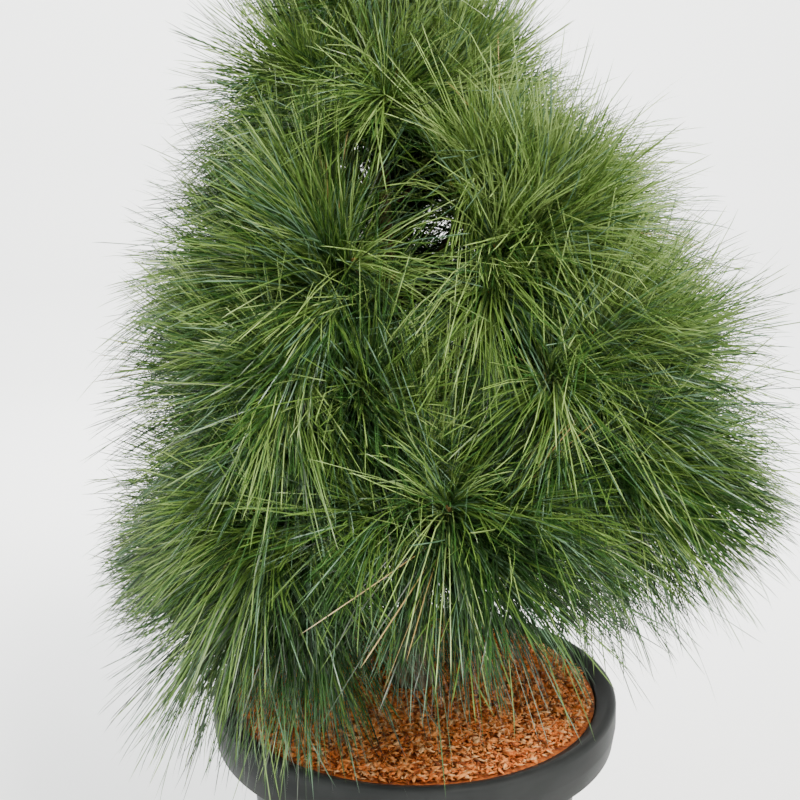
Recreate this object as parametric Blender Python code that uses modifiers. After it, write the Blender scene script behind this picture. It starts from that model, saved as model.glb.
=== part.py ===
"""A young Bhutan pine in a round nursery pot, as separate solids. Run it with Blender 4.5, in metres.

The origin is the middle of the pot's flat underside, +Z is up, and the plant's open front side faces -Y.
The trunk runs up through the crown, boughs leave it in whorls, and each bough carries one mass of needles.
"""

import math
import random
from collections import namedtuple

import bmesh
import bpy
from mathutils import Matrix, Vector

# Clearance between solids that touch on the real plant
GAP = 0.0004

# Pot: a thin moulded tub with a wide lip and a hollow skirt round it
POT_HEIGHT = 0.320
RIM_RADIUS = 0.1925
RIM_ROUND = 0.004
SKIRT_HEIGHT = 0.040
SKIRT_TAPER = 0.003
LIP_RADIUS = 0.1735
LIP_DROP = 0.006
BODY_TOP_RADIUS = 0.159
FOOT_RADIUS = 0.136
FOOT_STEP_HEIGHT = 0.026
FOOT_STEP = 0.004
WALL = 0.003
POT_SIDES = 34
DRAIN_HOLES = 8
DRAIN_RADIUS = 0.007
DRAIN_CIRCLE = 0.108

# Root ball: potting mix that fills the pot, heaped a little under its mulch
MIX_EDGE_DROP = 0.007
MIX_HEAP = 0.008
TRUNK_SEAT_RADIUS = 0.030
MIX_SIDES = 24

# Trunk: from a flat cut on the mulch to the foot of the leading shoot
TRUNK_TOP = 0.905
TRUNK_FOOT_RADIUS = 0.0135
TRUNK_TIP_RADIUS = 0.0036
ROOT_FLARE = 0.0085
FLARE_FADE = 0.028
TRUNK_LEAN = -0.036
TRUNK_SWAY = 0.005
TRUNK_POINTS = 18

# Boughs: level where they leave the trunk, then rising
BOUGH_THICKNESS = 0.34
BOUGH_TIP_RADIUS = 0.0028
BOUGH_COLLAR = 0.007
BOUGH_POINTS = 5

# A whorl's own sizes: its height on the trunk, its boughs, the azimuth of the first one, the arc they
# are spread over, how far out they carry their shoots, how steeply, how much further they reach on the
# +X side, and how long its shoots and needles are as a share of the longest
Whorl = namedtuple("Whorl", "height boughs azimuth arc reach rise skew vigour")
WHORLS = (
    Whorl(height=0.416, boughs=3, azimuth=105, arc=160, reach=0.058, rise=24, skew=-0.15, vigour=0.97),
    Whorl(height=0.462, boughs=7, azimuth=-83, arc=360, reach=0.120, rise=25, skew=0.30, vigour=0.94),
    Whorl(height=0.528, boughs=5, azimuth=-44, arc=360, reach=0.116, rise=36, skew=0.30, vigour=0.97),
    Whorl(height=0.607, boughs=5, azimuth=-118, arc=360, reach=0.102, rise=48, skew=0.18, vigour=0.94),
    Whorl(height=0.700, boughs=4, azimuth=-34, arc=300, reach=0.066, rise=52, skew=0.30, vigour=0.90),
    Whorl(height=0.790, boughs=4, azimuth=-92, arc=360, reach=0.030, rise=62, skew=0.12, vigour=0.81),
)
LEADER_VIGOUR = 0.76
AZIMUTH_SHIFT = 7
RISE_SHIFT = 6

# Shoots: each mass is one stem with two side twigs, all clothed with long needles
SHOOT_LENGTH = 0.105
LEADER_LENGTH = 0.100
SHOOT_BARE = 0.012
SHOOT_RADIUS = 0.0026
TWIG_SHARE = 0.74
TWIG_SPREAD = 45
TWIG_START = 0.20
CORE_RADIUS = 0.024
CORE_SIDES = 5

# Needles: in the solids each spray of them is one bent, pointed blade
NEEDLE_LENGTH = 0.160
CROPPED = (1.0, 0.82, 0.66)
SPRAY_WIDTH = 0.013
SPRAY_THICKNESS = 0.36
SPRAYS_ON_STEM = 18
SPRAYS_ON_TWIG = 10
SPREAD_AT_FOOT = 54
SPREAD_AT_BUD = 13
DROOP = 0.34
KNEE = 0.5
GOLDEN_ANGLE = math.pi * (3 - math.sqrt(5))

Limb = namedtuple("Limb", "name foot heading length sprays needles")


def clear_scene():
    for obj in list(bpy.data.objects):
        bpy.data.objects.remove(obj)


def make_collection(name, hidden=False):
    collection = bpy.data.collections.new(name)
    collection.hide_render = hidden
    bpy.context.scene.collection.children.link(collection)
    return collection


def make_material(name, colour, roughness):
    material = bpy.data.materials.new(name)
    material.use_nodes = True
    shader = material.node_tree.nodes["Principled BSDF"]
    shader.inputs["Base Color"].default_value = (*colour, 1)
    shader.inputs["Roughness"].default_value = roughness
    shader.inputs["Metallic"].default_value = 0
    return material


def add_object(name, mesh, material, collection):
    obj = bpy.data.objects.new(name, mesh)
    obj.data.materials.append(material)
    collection.objects.link(obj)
    return obj


def smoothed(mesh, angle=40):
    mesh.shade_smooth()
    mesh.set_sharp_from_angle(angle=math.radians(angle))
    return mesh


# Turned shapes: the pot and what fills it


def turned(name, profile, sides, material, collection):
    """A solid of revolution from (radius, height) points that run down its outer side."""
    mesh = bpy.data.meshes.new(name)
    edges = [(i, i + 1) for i in range(len(profile) - 1)]
    mesh.from_pydata([(r, 0, z) for r, z in profile], edges, [])
    obj = add_object(name, mesh, material, collection)
    screw = obj.modifiers.new("turn", "SCREW")
    screw.axis = "Z"
    screw.steps = screw.render_steps = sides
    screw.use_merge_vertices = True
    screw.merge_threshold = 0.00005
    return obj


def pot_inside():
    """The pot's inner face from the middle of its floor to the inner edge of its lip."""
    shoulder = POT_HEIGHT - SKIRT_HEIGHT
    return [
        (0, WALL),
        (FOOT_RADIUS - FOOT_STEP - WALL, WALL),
        (BODY_TOP_RADIUS - WALL, shoulder),
        (LIP_RADIUS - WALL, shoulder + 3 * WALL),
        (LIP_RADIUS, POT_HEIGHT - LIP_DROP),
    ]


def pot_profile():
    shoulder = POT_HEIGHT - SKIRT_HEIGHT
    skirt_foot = RIM_RADIUS - SKIRT_TAPER
    rim = [
        (RIM_RADIUS - 2 * RIM_ROUND, POT_HEIGHT - 0.15 * RIM_ROUND),
        (RIM_RADIUS - RIM_ROUND, POT_HEIGHT),
        (RIM_RADIUS - 0.3 * RIM_ROUND, POT_HEIGHT - 0.3 * RIM_ROUND),
        (RIM_RADIUS, POT_HEIGHT - RIM_ROUND),
    ]
    skirt = [
        (RIM_RADIUS, POT_HEIGHT - 0.55 * SKIRT_HEIGHT),
        (skirt_foot, shoulder),
        (skirt_foot - WALL, shoulder),
        (RIM_RADIUS - WALL, POT_HEIGHT - 0.55 * SKIRT_HEIGHT),
        (RIM_RADIUS - 1.4 * WALL, POT_HEIGHT - WALL - RIM_ROUND),
        (LIP_RADIUS + WALL, POT_HEIGHT - LIP_DROP - WALL),
        (LIP_RADIUS, shoulder + 2.4 * WALL),
        (BODY_TOP_RADIUS, shoulder - WALL),
    ]
    foot = [
        (FOOT_RADIUS, FOOT_STEP_HEIGHT),
        (FOOT_RADIUS - FOOT_STEP, FOOT_STEP_HEIGHT - FOOT_STEP),
        (FOOT_RADIUS - FOOT_STEP, 0.002),
        (FOOT_RADIUS - FOOT_STEP - 0.002, 0),
        (0, 0),
    ]
    return pot_inside() + rim + skirt + foot


def make_pot(material, collection, cutters):
    pot = turned("pot", pot_profile(), POT_SIDES, material, collection)
    mesh = bpy.data.meshes.new("drain_cutters")
    bm = bmesh.new()
    for i in range(DRAIN_HOLES):
        angle = 2 * math.pi * (i + 0.5) / DRAIN_HOLES
        place = Matrix.Translation((DRAIN_CIRCLE * math.cos(angle), DRAIN_CIRCLE * math.sin(angle), 0))
        bmesh.ops.create_cone(
            bm, cap_ends=True, segments=8, radius1=DRAIN_RADIUS, radius2=DRAIN_RADIUS,
            depth=6 * WALL, matrix=place,
        )
    bm.to_mesh(mesh)
    bm.free()
    cutter = add_object("drain_cutters", mesh, material, cutters)
    cutter.hide_render = True
    cutter.display_type = "WIRE"
    drain = pot.modifiers.new("drain", "BOOLEAN")
    drain.operation = "DIFFERENCE"
    drain.object = cutter
    return pot


def mulch_level(radius):
    """Height of the mulch: flat where the trunk stands, then sinking to the lip."""
    edge = POT_HEIGHT - MIX_EDGE_DROP
    share = min(1, max(0, (radius - TRUNK_SEAT_RADIUS) / (LIP_RADIUS - TRUNK_SEAT_RADIUS)))
    return edge + MIX_HEAP * (1 - share * share)


def make_root_ball(material, collection):
    inside = pot_inside()
    top = [(0, mulch_level(0))]
    top += [(r, mulch_level(r)) for r in (TRUNK_SEAT_RADIUS, 0.075, 0.115, 0.150)]
    top += [(LIP_RADIUS - 2.5 * GAP, mulch_level(LIP_RADIUS) - 0.001)]
    side = [(r - 2.5 * GAP, z + GAP) for r, z in reversed(inside[1:4])]
    return turned("root_ball", top + side + [(0, WALL + GAP)], MIX_SIDES, material, collection)


# Limbs: the trunk and its boughs are tapering tubes


def trunk_share(height):
    foot = mulch_level(0) + GAP
    return (height - foot) / (TRUNK_TOP - foot)


def trunk_point(height):
    share = max(0.0, trunk_share(height) - 0.05)
    x = TRUNK_LEAN * share**1.4 + TRUNK_SWAY * math.sin(7 * share)
    return Vector((x, TRUNK_SWAY * math.sin(5 * share), height))


def trunk_radius(height):
    share = max(0.0, trunk_share(height))
    flare = ROOT_FLARE * math.exp(-share * (TRUNK_TOP - mulch_level(0)) / FLARE_FADE)
    return TRUNK_FOOT_RADIUS + (TRUNK_TIP_RADIUS - TRUNK_FOOT_RADIUS) * share + flare


def tube(name, points, radii, material, collection, resolution):
    """A closed tapering tube along the points, as a mesh."""
    curve = bpy.data.curves.new(name + "_line", "CURVE")
    curve.dimensions = "3D"
    curve.bevel_depth = 1
    curve.bevel_resolution = resolution
    curve.use_fill_caps = True
    spline = curve.splines.new("POLY")
    spline.points.add(len(points) - 1)
    for knot, point, radius in zip(spline.points, points, radii):
        knot.co = (*point, 1)
        knot.radius = radius
    line = bpy.data.objects.new(name + "_line", curve)
    collection.objects.link(line)
    graph = bpy.context.evaluated_depsgraph_get()
    mesh = bpy.data.meshes.new_from_object(line.evaluated_get(graph))
    mesh.name = name
    obj = bpy.data.objects.new(name, mesh)
    obj.matrix_world = line.matrix_world
    collection.objects.link(obj)
    bpy.data.objects.remove(line)
    bm = bmesh.new()
    bm.from_mesh(mesh)
    bmesh.ops.remove_doubles(bm, verts=bm.verts, dist=0.00002)
    bmesh.ops.recalc_face_normals(bm, faces=bm.faces)
    bm.to_mesh(mesh)
    bm.free()
    mesh.materials.clear()
    mesh.materials.append(material)
    smoothed(mesh)
    return obj


def make_trunk(material, collection):
    foot = mulch_level(0) + GAP
    flare_heights = [foot, foot + 0.006, foot + 0.016, foot + 0.034]
    rest = foot + 0.034
    heights = flare_heights + [
        rest + (TRUNK_TOP - rest) * (i + 1) / (TRUNK_POINTS - 4) for i in range(TRUNK_POINTS - 4)
    ]
    points = [trunk_point(h) for h in heights]
    points[1].xy = points[0].xy
    return tube("trunk", points, [trunk_radius(h) for h in heights], material, collection, 3)


def heading_of(azimuth, rise):
    a, e = math.radians(azimuth), math.radians(rise)
    return Vector((math.cos(a) * math.cos(e), math.sin(a) * math.cos(e), math.sin(e)))


def bough_plan():
    """Every bough as (name, points of its middle line, radii, heading of its tip, vigour)."""
    chance = random.Random(7)
    plans = []
    for level, whorl in enumerate(WHORLS, 1):
        for n in range(whorl.boughs):
            azimuth = whorl.azimuth + whorl.arc * n / whorl.boughs + chance.uniform(-1, 1) * AZIMUTH_SHIFT
            rise = whorl.rise + chance.uniform(-1, 1) * RISE_SHIFT
            height = whorl.height + chance.uniform(-0.008, 0.008)
            reach = whorl.reach * (1 + whorl.skew * math.cos(math.radians(azimuth)))
            reach *= chance.uniform(0.92, 1.08)
            out = heading_of(azimuth, 0)
            tip_heading = heading_of(azimuth, rise)
            foot_radius = BOUGH_THICKNESS * trunk_radius(height)
            start = trunk_point(height) + out * (trunk_radius(height) + GAP)
            points = [start, start + out * BOUGH_COLLAR]
            for i in range(2, BOUGH_POINTS):
                share = (i - 1) / (BOUGH_POINTS - 2)
                along = out.lerp(tip_heading, min(1, 0.4 + share)).normalized()
                points.append(points[-1] + along * (reach / (BOUGH_POINTS - 2)))
            heading = (points[-1] - points[-2]).normalized()
            radii = [
                foot_radius + (BOUGH_TIP_RADIUS - foot_radius) * i / (BOUGH_POINTS - 1)
                for i in range(BOUGH_POINTS)
            ]
            plans.append((f"{level}_{n + 1}", points, radii, heading, whorl.vigour))
    return plans


# Masses of needles


def shoot_limbs(name, foot, heading, length, vigour):
    """The stem of a mass and its two side twigs, as limbs that carry needles."""
    needles = NEEDLE_LENGTH * vigour
    side = heading.cross(Vector((0, 0, 1)))
    side = side.normalized() if side.length > 0.01 else Vector((1, 0, 0))
    limbs = [Limb(name, foot, heading, length, SPRAYS_ON_STEM, needles)]
    for hand in (-1, 1):
        turn = Matrix.Rotation(math.radians(TWIG_SPREAD * vigour * hand), 3, side.cross(heading))
        limbs.append(
            Limb(
                name,
                foot + heading * (length * TWIG_START),
                (turn @ heading).normalized(),
                length * TWIG_SHARE,
                SPRAYS_ON_TWIG,
                needles,
            )
        )
    return limbs


def distance_to(limb, point):
    along = max(0.0, min(limb.length, (point - limb.foot).dot(limb.heading)))
    return (point - limb.foot - limb.heading * along).length


def spray_lines(limb, index, chance):
    """Root, knee and tip of one spray at each length it may take: it leaves on a spiral and droops."""
    share = (index + 0.6) / limb.sprays
    spread = math.radians(SPREAD_AT_FOOT + (SPREAD_AT_BUD - SPREAD_AT_FOOT) * share)
    turn = index * GOLDEN_ANGLE + chance.uniform(-0.3, 0.3)
    across = limb.heading.orthogonal().normalized()
    outward = Matrix.Rotation(turn, 3, limb.heading) @ across
    heading = limb.heading * math.cos(spread) + outward * math.sin(spread)
    root = limb.foot + limb.heading * (SHOOT_BARE + (limb.length - SHOOT_BARE) * share * 0.9)
    full = limb.needles * chance.uniform(0.88, 1.0)
    lines = []
    for share in CROPPED:
        line = [root]
        for t in (KNEE * share, share):
            sag = Vector((0, 0, -DROOP * full * t * t * (1 - 0.6 * abs(heading.z))))
            line.append(root + heading * (full * t) + sag)
        lines.append(line)
    return lines


def keeps_its_space(line, own, others, wood):
    """True where a spray is clear of the other masses, of the wood and of the pot."""
    room = SPRAY_WIDTH / 2 + GAP
    for i in range(1, 9):
        t = i / 8
        point = line[0].lerp(line[1], t / KNEE) if t < KNEE else line[1].lerp(line[2], (t - KNEE) / (1 - KNEE))
        mine = min(distance_to(limb, point) for limb in own)
        if any(distance_to(limb, point) - mine < 2 * room for limb in others):
            return False
        if any(distance_to(limb, point) < radius + room for limb, radius in wood):
            return False
        reach = math.hypot(point.x, point.y)
        if reach < RIM_RADIUS + 2 * room and point.z < POT_HEIGHT + MIX_HEAP + 2 * room:
            return False
        if point.z < 0.9 * POT_HEIGHT:
            return False
    return True


def place_cone(bm, foot, heading, length, radius_foot, radius_tip, sides):
    turn = heading.to_track_quat("Z", "Y").to_matrix().to_4x4()
    middle = Matrix.Translation(foot + heading * (length / 2))
    return bmesh.ops.create_cone(
        bm, cap_ends=True, segments=sides, radius1=radius_foot, radius2=radius_tip,
        depth=length, matrix=middle @ turn,
    )["verts"]


def spray_mesh(name, line):
    """A pointed blade from its root to its tip, bent at its knee."""
    root, knee, tip = line
    length = (knee - root).length + (tip - knee).length
    bm = bmesh.new()
    verts = bmesh.ops.create_cone(
        bm, cap_ends=True, segments=3, radius1=SPRAY_WIDTH / 2, radius2=0, depth=length,
        matrix=Matrix.Translation((0, 0, length / 2)),
    )["verts"]
    bmesh.ops.scale(bm, verts=verts, vec=(1, SPRAY_THICKNESS, 1))
    bmesh.ops.bisect_plane(
        bm, geom=bm.verts[:] + bm.edges[:] + bm.faces[:], plane_co=(0, 0, length * KNEE),
        plane_no=(0, 0, 1), dist=1e-7,
    )
    first, second = (knee - root).normalized(), (tip - knee).normalized()
    across = first.cross(second)
    across = across.normalized() if across.length > 1e-4 else first.orthogonal().normalized()
    for vert in bm.verts:
        share = vert.co.z / length
        heading = first if share < KNEE * 0.5 else (first + second).normalized()
        upward = heading.cross(across)
        middle = root.lerp(knee, share / KNEE) if share <= KNEE else knee.lerp(tip, (share - KNEE) / (1 - KNEE))
        swell = 1 / (1 - KNEE) if 0.1 < share < 0.9 else 0.8
        vert.co = middle + (across * vert.co.x + upward * vert.co.y) * swell
    mesh = bpy.data.meshes.new(name)
    bm.to_mesh(mesh)
    bm.free()
    return mesh


def free_radius(limb, others, wood):
    """How thick a limb's core may be before it meets another mass or the wood."""
    room = CORE_RADIUS
    for i in range(9):
        point = limb.foot + limb.heading * (SHOOT_BARE + (limb.length - SHOOT_BARE) * i / 8)
        room = min([room] + [distance_to(other, point) / 2.4 for other in others])
        clear = [distance_to(other, point) - radius for other, radius in wood if other.name != "trunk"]
        if i > 1:
            room = min([room] + [gap / 1.2 for gap in clear])
    return max(room, SHOOT_RADIUS * 1.6)


def core_mesh(name, limb, radius, with_foot):
    """The spindle of close needles round a limb that the sprays stand out of."""
    bm = bmesh.new()
    start = limb.foot + limb.heading * (SHOOT_BARE * (0.8 if with_foot else 0))
    body = limb.length - (start - limb.foot).length
    verts = place_cone(bm, start, limb.heading, body, radius * 0.45, radius * 0.3, CORE_SIDES)
    bmesh.ops.bisect_plane(
        bm, geom=bm.verts[:] + bm.edges[:] + bm.faces[:],
        plane_co=start + limb.heading * (body * 0.55), plane_no=limb.heading, dist=1e-7,
    )
    waist = start + limb.heading * (body * 0.55)
    for vert in bm.verts:
        along = (vert.co - start).dot(limb.heading) / body
        if 0.3 < along < 0.8:
            vert.co = waist + (vert.co - waist) * (radius / (vert.co - waist).length)
    mesh = bpy.data.meshes.new(name)
    bm.to_mesh(mesh)
    bm.free()
    return mesh


def stem_mesh(name, limb):
    bm = bmesh.new()
    foot = limb.foot + limb.heading * GAP
    place_cone(bm, foot, limb.heading, SHOOT_BARE * 2.2, SHOOT_RADIUS, SHOOT_RADIUS * 0.9, 3)
    mesh = bpy.data.meshes.new(name)
    bm.to_mesh(mesh)
    bm.free()
    return mesh


def largest_body(mesh):
    """Drops any loose scrap that joining has left, so that the mass is one body."""
    bm = bmesh.new()
    bm.from_mesh(mesh)
    seen, bodies = set(), []
    for vert in bm.verts:
        if vert in seen:
            continue
        body, edge = {vert}, [vert]
        while edge:
            for link in edge.pop().link_edges:
                for other in link.verts:
                    if other not in body:
                        body.add(other)
                        edge.append(other)
        seen |= body
        bodies.append(body)
    keep = max(bodies, key=len)
    bmesh.ops.delete(bm, geom=[v for v in bm.verts if v not in keep], context="VERTS")
    bm.to_mesh(mesh)
    bm.free()
    return mesh


def joined(name, base, others, material, collection, cutters):
    """One closed solid from overlapping meshes."""
    obj = add_object(name, base, material, collection)
    loose = bpy.data.collections.new(name + "_pieces")
    cutters.children.link(loose)
    for i, mesh in enumerate(others):
        add_object(f"{name}_piece_{i}", mesh, material, loose)
    union = obj.modifiers.new("join", "BOOLEAN")
    union.operation = "UNION"
    union.operand_type = "COLLECTION"
    union.collection = loose
    union.solver = "MANIFOLD"
    graph = bpy.context.evaluated_depsgraph_get()
    mesh = bpy.data.meshes.new_from_object(obj.evaluated_get(graph))
    obj.modifiers.clear()
    obj.data = largest_body(mesh)
    for piece in list(loose.objects):
        bpy.data.objects.remove(piece)
    bpy.data.collections.remove(loose)
    return obj


def make_mass(name, limbs, all_limbs, wood, chance, material, collection, cutters):
    others = [limb for limb in all_limbs if limb.name != name]
    pieces = [
        core_mesh(name, limb, free_radius(limb, others, wood), limb is limbs[0]) for limb in limbs
    ]
    for limb in limbs:
        for index in range(limb.sprays):
            lines = spray_lines(limb, index, chance)
            kept = [line for line in lines if keeps_its_space(line, limbs, others, wood)]
            if kept:
                pieces.append(spray_mesh(name, kept[0]))
    return joined(name, stem_mesh(name, limbs[0]), pieces, material, collection, cutters)


def wood_limbs(plans):
    """Trunk and boughs as straight limbs with radii, for keeping needles off them."""
    wood = []
    heights = [mulch_level(0) + i * (TRUNK_TOP - mulch_level(0)) / 8 for i in range(9)]
    for low, high in zip(heights, heights[1:]):
        a, b = trunk_point(low), trunk_point(high)
        wood.append((Limb("trunk", a, (b - a).normalized(), (b - a).length, 0, 0), trunk_radius(low)))
    for name, points, radii, _, _ in plans:
        for a, b in zip(points, points[1:]):
            heading = (b - a).normalized()
            wood.append((Limb(name, a, heading, (b - a).length - GAP, 0, 0), radii[0]))
    return wood


def main():
    clear_scene()
    plant = make_collection("bhutan_pine")
    cutters = make_collection("cutters", hidden=True)
    plastic = make_material("charcoal_plastic", (0.035, 0.036, 0.038), 0.5)
    mulch = make_material("bark_mulch", (0.33, 0.12, 0.035), 0.9)
    bark = make_material("young_bark", (0.16, 0.10, 0.06), 0.85)
    needle = make_material("pine_needle", (0.07, 0.16, 0.03), 0.5)

    make_pot(plastic, plant, cutters)
    make_root_ball(mulch, plant)
    make_trunk(bark, plant)
    plans = bough_plan()
    for name, points, radii, _, _ in plans:
        tube("bough_" + name, points, radii, bark, plant, 1)

    masses = {
        "needles_" + name: shoot_limbs("needles_" + name, points[-1], heading, SHOOT_LENGTH * vigour, vigour)
        for name, points, _, heading, vigour in plans
    }
    top = trunk_point(TRUNK_TOP)
    up = (top - trunk_point(TRUNK_TOP - 0.03)).normalized()
    masses["needles_leader"] = shoot_limbs("needles_leader", top, up, LEADER_LENGTH, LEADER_VIGOUR)

    all_limbs = [limb for limbs in masses.values() for limb in limbs]
    wood = wood_limbs(plans)
    for seed, (name, limbs) in enumerate(masses.items()):
        make_mass(name, limbs, all_limbs, wood, random.Random(seed), needle, plant, cutters)


main()
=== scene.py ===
"""The looks of a young Bhutan pine in its nursery pot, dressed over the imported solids.

Metres, +Z up, with the origin in the middle of the pot's underside and the seen side towards -Y.
The boughs, twigs and needles follow the rule that lays out the solids, carried on to finer growth.
"""

import math
import random
from collections import namedtuple

import bmesh
import bpy
import numpy as np
from mathutils import Matrix, Vector, noise


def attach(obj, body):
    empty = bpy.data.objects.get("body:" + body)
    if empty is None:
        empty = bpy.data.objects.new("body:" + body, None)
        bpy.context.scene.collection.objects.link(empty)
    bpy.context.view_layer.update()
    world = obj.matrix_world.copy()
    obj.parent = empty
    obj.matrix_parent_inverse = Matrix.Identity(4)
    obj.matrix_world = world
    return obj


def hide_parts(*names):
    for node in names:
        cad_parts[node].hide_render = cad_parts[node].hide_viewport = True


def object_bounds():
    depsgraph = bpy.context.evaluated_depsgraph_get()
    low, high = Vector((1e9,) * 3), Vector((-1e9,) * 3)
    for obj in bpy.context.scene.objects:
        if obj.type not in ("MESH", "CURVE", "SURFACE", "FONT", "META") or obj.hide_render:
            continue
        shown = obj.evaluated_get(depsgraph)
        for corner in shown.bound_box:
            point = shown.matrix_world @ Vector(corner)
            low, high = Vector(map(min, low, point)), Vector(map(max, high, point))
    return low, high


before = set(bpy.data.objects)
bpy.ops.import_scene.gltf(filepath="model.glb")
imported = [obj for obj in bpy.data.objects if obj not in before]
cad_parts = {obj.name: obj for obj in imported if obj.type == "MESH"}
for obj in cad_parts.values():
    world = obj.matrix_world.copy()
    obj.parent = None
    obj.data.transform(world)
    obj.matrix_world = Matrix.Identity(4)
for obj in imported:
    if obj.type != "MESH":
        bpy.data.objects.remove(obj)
cad_low, cad_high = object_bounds()

# Pot and root ball, as in the solids
GAP = 0.0004
POT_HEIGHT = 0.320
RIM_RADIUS = 0.1925
RIM_ROUND = 0.004
SKIRT_HEIGHT = 0.040
SKIRT_TAPER = 0.003
LIP_RADIUS = 0.1735
LIP_DROP = 0.006
BODY_TOP_RADIUS = 0.159
FOOT_RADIUS = 0.136
FOOT_STEP_HEIGHT = 0.026
FOOT_STEP = 0.004
WALL = 0.003
POT_SIDES = 144
POT_ROUNDING = 0.0011
SHARP_ANGLE = 35
DRAIN_HOLES = 8
DRAIN_SIDES = 24
DRAIN_RADIUS = 0.007
DRAIN_CIRCLE = 0.108
MIX_EDGE_DROP = 0.007
MIX_HEAP = 0.008
TRUNK_SEAT_RADIUS = 0.030

# Fines on the root ball: a rough skin between the chips
MIX_RINGS = 26
MIX_SIDES = 120
MIX_ROUNDING = 0.0004
MIX_ROUGHNESS = 0.0022
MIX_LUMPS_PER_METRE = 90
MIX_SINK = 0.0012

# Trunk and boughs, as in the solids
TRUNK_TOP = 0.905
TRUNK_FOOT_RADIUS = 0.0135
TRUNK_TIP_RADIUS = 0.0036
ROOT_FLARE = 0.0085
FLARE_FADE = 0.028
TRUNK_LEAN = -0.036
TRUNK_SWAY = 0.005
BOUGH_THICKNESS = 0.34
BOUGH_TIP_RADIUS = 0.0028
BOUGH_COLLAR = 0.007
BOUGH_POINTS = 5
Whorl = namedtuple("Whorl", "height boughs azimuth arc reach rise skew vigour")
WHORLS = (
    Whorl(height=0.416, boughs=3, azimuth=105, arc=160, reach=0.058, rise=24, skew=-0.15, vigour=0.97),
    Whorl(height=0.462, boughs=7, azimuth=-83, arc=360, reach=0.120, rise=25, skew=0.30, vigour=0.94),
    Whorl(height=0.528, boughs=5, azimuth=-44, arc=360, reach=0.116, rise=36, skew=0.30, vigour=0.97),
    Whorl(height=0.607, boughs=5, azimuth=-118, arc=360, reach=0.102, rise=48, skew=0.18, vigour=0.94),
    Whorl(height=0.700, boughs=4, azimuth=-34, arc=300, reach=0.066, rise=52, skew=0.30, vigour=0.90),
    Whorl(height=0.790, boughs=4, azimuth=-92, arc=360, reach=0.030, rise=62, skew=0.12, vigour=0.81),
)
LEADER_VIGOUR = 0.76
AZIMUTH_SHIFT = 7
RISE_SHIFT = 6

# Bark: its relief is a share of the radius, a larger grain gives more and smaller lumps round the limb, and
# the trunk has a knot at each whorl
TRUNK_RINGS = 150
TRUNK_SIDES = 28
TRUNK_RELIEF = 0.10
TRUNK_GRAIN = 2.4
TRUNK_SUNK = 0.002
THINNEST_TRUNK = 0.0028
KNOT_REACH = 0.010
KNOT_SWELL = 0.16
BOUGH_SIDES = 12
BOUGH_STEPS = 5
BOUGH_RELIEF = 0.12
BOUGH_GRAIN = 1.8
BOUGH_SUNK = 0.006
BOUGH_SWELL = 1.25
BOUGH_THINNING = 1.3

# Shoots, as in the solids
SHOOT_LENGTH = 0.105
LEADER_LENGTH = 0.100
SHOOT_BARE = 0.012
TWIG_SHARE = 0.74
TWIG_SPREAD = 45
TWIG_START = 0.20
TIP_RADIUS = 0.0019

# Finer twigs of each shoot: where along it one starts, its lift off the shoot and its roll round it in
# degrees, and its length as a share of the shoot's, with how far each may stray from that
FINE_TWIGS = (
    (0.12, 56, 90, 0.62), (0.22, 56, 270, 0.62), (0.40, 50, 0, 0.55),
    (0.48, 50, 180, 0.55), (0.62, 44, 60, 0.46), (0.70, 44, 240, 0.46),
)
ROLL_SHIFT = 40
LIFT_SHIFT = (-12, 14)
LENGTH_SHIFT = (0.7, 1.15)
TWIG_SIDES = 7
TWIG_STEPS = 6
TWIG_RELIEF = 0.05
TWIG_GRAIN = 1.0

# Buds: radii along one as shares of its length, and the length past which a shoot's bud is large
BUD_SHAPE = (0.15, 0.22, 0.25, 0.25, 0.22, 0.17, 0.10, 0.02)
BUD_SIDES = 9
BUD_RELIEF = 0.22
BUD_GRAIN = 3.0
LARGE_BUD = 0.013
SMALL_BUD = 0.008
LARGE_BUD_SHOOT = 0.08

# Needles grow in fives, in bundles on a golden spiral that closes towards the bud
NEEDLE_LENGTH = 0.160
NEEDLE_WIDTH = 0.00105
NEEDLE_WIDTHS = (0.8, 1.15)
NEEDLE_TAPER = 0.25
NEEDLES_IN_ONE = 5
BUNDLES_PER_METRE = 1400
BUNDLE_LENGTHS = (0.50, 0.90, 1.0)
SPREAD_AT_FOOT = 54
SPREAD_AT_BUD = 13
SPREAD_SHIFT = 20
TURN_SHIFT = 0.6
GOLDEN_ANGLE = math.pi * (3 - math.sqrt(5))

# Older wood behind the shoots keeps shorter needles that stand out wider, and few of them above a height
OLD_BUNDLES_PER_METRE = 1500
OLD_NEEDLES = 0.85
OLD_SPREAD = 60
BARE_ABOVE = 0.56
BARE_SHARE = 0.25

# How the needles of a bundle part: their lean in degrees, their lengths, and their droop and curl as shares
# of their length. Needles that head steeply up or down droop less.
LEAN_IN_BUNDLE = (2, 11)
LENGTHS_IN_BUNDLE = (0.93, 1.0)
DROOP = 0.34
DROOP_SHIFT = (0.4, 1.3)
STEEP_SHARE = 0.6
CURL = 0.17

# Needles droop most up to a height and less above it
DROOP_MOST = 1.15
DROOP_LEAST = 0.8
DROOP_HEIGHT = 0.45

# The push that neighbouring bundles share: strength, wavelength and number of its waves, how far along a
# bundle it is felt, and how much of it turns the whole bundle
SWAY_WAVES = ((0.20, 0.15, 9), (0.15, 0.045, 12))
SWAY_FELT_AT = 0.6
SWAY_TURN = 0.6

# How far past the solids' reach needles may end, and how those that would are shortened
OVERREACH = 0.012
RAGGED = 0.09
SHORTEST = 0.2

# How far needles that come down on the mulch or the rim stay above it, and how far past the rim they do
MULCH_CLEAR = 0.004
RIM_CLEAR = 0.002
RIM_MARGIN = 0.003

# The skirt of needles hangs less low on the +X side: from where, how low there, how much higher further
# out, and how uneven its edge is
SKIRT_FROM = 0.11
SKIRT_LOW = 0.335
SKIRT_RISE = 0.70
SKIRT_SOFT = 0.034

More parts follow.
